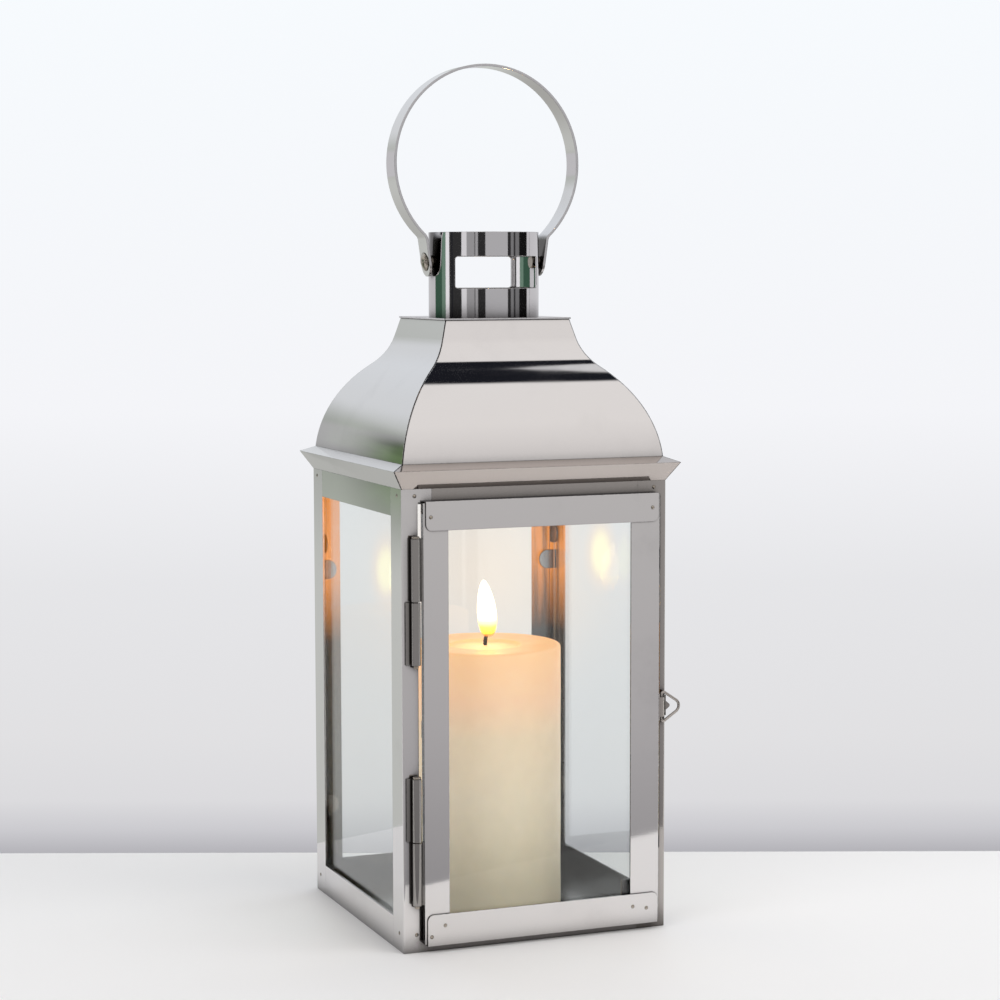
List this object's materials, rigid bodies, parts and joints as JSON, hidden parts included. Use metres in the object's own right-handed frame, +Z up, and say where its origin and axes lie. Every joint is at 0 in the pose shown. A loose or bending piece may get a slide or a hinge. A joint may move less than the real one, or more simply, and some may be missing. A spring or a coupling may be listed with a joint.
{
  "type": "candle lantern",
  "caption": "Square glazed metal candle lantern with a bell roof, chimney collar, strap handle, hinged glass door with wire latch, and a pillar candle inside.",
  "frame": {"origin": "on the surface that the lantern stands on, under the middle of its square body", "axes": "+Z up, -Y towards the door, +X towards the latch side"},
  "size_m": [0.1487, 0.1472, 0.4226],
  "materials": {
    "polished_steel": "mirror-polished stainless steel sheet",
    "rivet_steel": "plain steel rivets and pins",
    "glass": "clear float glass, faintly green",
    "wax": "smooth ivory paraffin wax",
    "wick": "charred braided cotton"
  },
  "bodies": {
    "frame": {"collar": "polished_steel", "collar_ring": "polished_steel", "cornice_back": "polished_steel", "cornice_front": "polished_steel", "cornice_left": "polished_steel", "cornice_right": "polished_steel", "frame_rivets": "rivet_steel", "hinge_lower_pin": "rivet_steel", "hinge_lower_post_leaf": "polished_steel", "hinge_upper_pin": "rivet_steel", "hinge_upper_post_leaf": "polished_steel", "latch_catch": "polished_steel", "pane_back": "glass", "pane_clips": "polished_steel", "pane_left": "glass", "pane_right": "glass", "post_back_left": "polished_steel", "post_back_right": "polished_steel", "post_front_left": "polished_steel", "post_front_right": "polished_steel", "rail_bottom_back": "polished_steel", "rail_bottom_front": "polished_steel", "rail_bottom_left": "polished_steel", "rail_bottom_right": "polished_steel", "rail_top_back": "polished_steel", "rail_top_front": "polished_steel", "rail_top_left": "polished_steel", "rail_top_right": "polished_steel", "roof_back": "polished_steel", "roof_cap": "polished_steel", "roof_front": "polished_steel", "roof_left": "polished_steel", "roof_right": "polished_steel", "tray": "polished_steel"},
    "door": {"door_glass": "glass", "door_rail_bottom": "polished_steel", "door_rail_top": "polished_steel", "door_rivets": "rivet_steel", "door_stile_hinge_side": "polished_steel", "door_stile_latch_side": "polished_steel", "hinge_lower_door_leaf": "polished_steel", "hinge_upper_door_leaf": "polished_steel", "latch_bracket": "polished_steel"},
    "latch": {"latch_wire": "polished_steel"},
    "handle": {"handle_rivet_left": "rivet_steel", "handle_rivet_right": "rivet_steel", "handle_strap": "polished_steel"},
    "candle": {"candle_wax": "wax", "candle_wick": "wick"}
  },
  "joints": [
    {"name": "door_swing", "type": "hinge", "parent": "frame", "child": "door", "pos_m": [-0.062, -0.0705, 0.11], "axis": [0, 0, -1], "range_deg": [0, 165]},
    {"name": "latch_swing", "type": "hinge", "parent": "door", "child": "latch", "pos_m": [0.0649, -0.07, 0.1098], "axis": [0, 0, 1], "range_deg": [-95, 22]},
    {"name": "handle_swing", "type": "hinge", "parent": "frame", "child": "handle", "pos_m": [0, 0, 0.326], "axis": [1, 0, 0], "range_deg": [-125, 125]},
    {"name": "candle_lift", "type": "slide", "parent": "frame", "child": "candle", "axis": [0, 0, 1], "range_m": [0, 0.05]}
  ]
}
